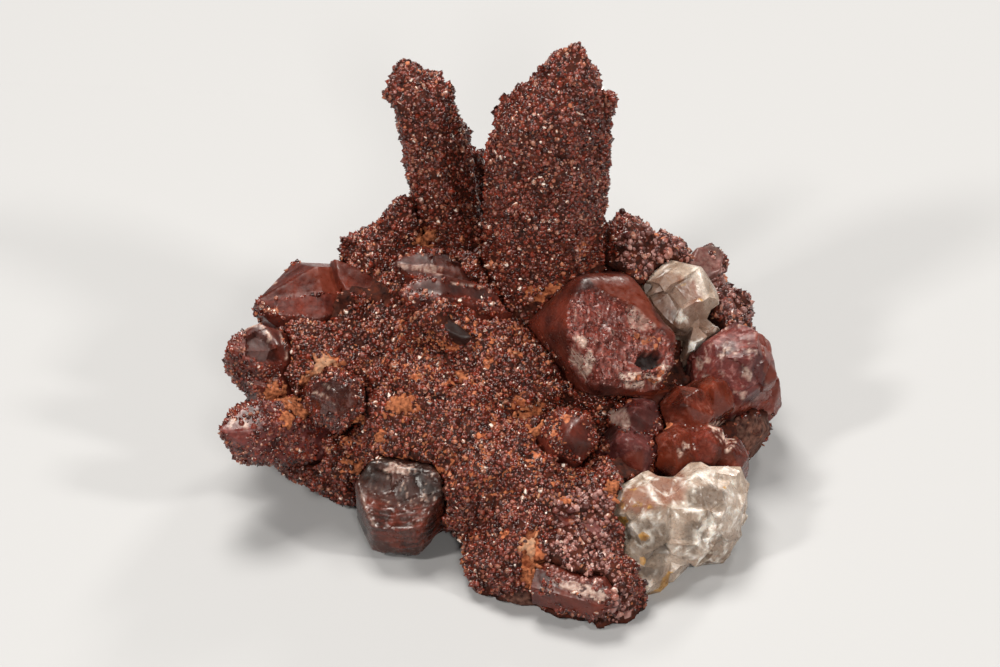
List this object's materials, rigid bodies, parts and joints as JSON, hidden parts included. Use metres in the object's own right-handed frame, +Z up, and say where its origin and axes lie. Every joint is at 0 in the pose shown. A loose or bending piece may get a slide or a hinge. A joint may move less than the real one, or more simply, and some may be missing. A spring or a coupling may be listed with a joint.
{
  "type": "hematoid quartz cluster in matrix",
  "caption": "Natural cluster of red hematoid quartz crystals, some upright and druse-coated, standing in their red matrix with broken pale quartz.",
  "frame": {"origin": "centre of the footprint of the whole specimen, on the surface it rests on", "axes": "+Z up, +X to the right and +Y away from the viewer who looks at the front"},
  "size_m": [0.0708, 0.0612, 0.0559],
  "materials": {
    "druse": "fine sparkling red-brown druse",
    "hematoid_quartz": "glossy red crystal",
    "smoky_quartz": "glossy dark brown-grey crystal",
    "pale_quartz": "broken, pale and slightly clear",
    "matrix": "druse-coated rock with orange-brown stains"
  },
  "bodies": {
    "root": {"upright_crystals": "druse", "broken_crystal": "hematoid_quartz", "smoky_stub": "smoky_quartz", "left_crystal": "hematoid_quartz", "left_stub": "hematoid_quartz", "left_point": "hematoid_quartz", "small_crystal": "hematoid_quartz", "round_crystal": "hematoid_quartz", "pocket_crystal": "hematoid_quartz", "rear_crystals": "hematoid_quartz", "right_crystal": "hematoid_quartz", "red_crystals": "hematoid_quartz", "front_crystal": "hematoid_quartz", "pale_quartz_block": "pale_quartz", "pale_quartz_ridge": "pale_quartz", "matrix": "matrix"}
  },
  "joints": []
}
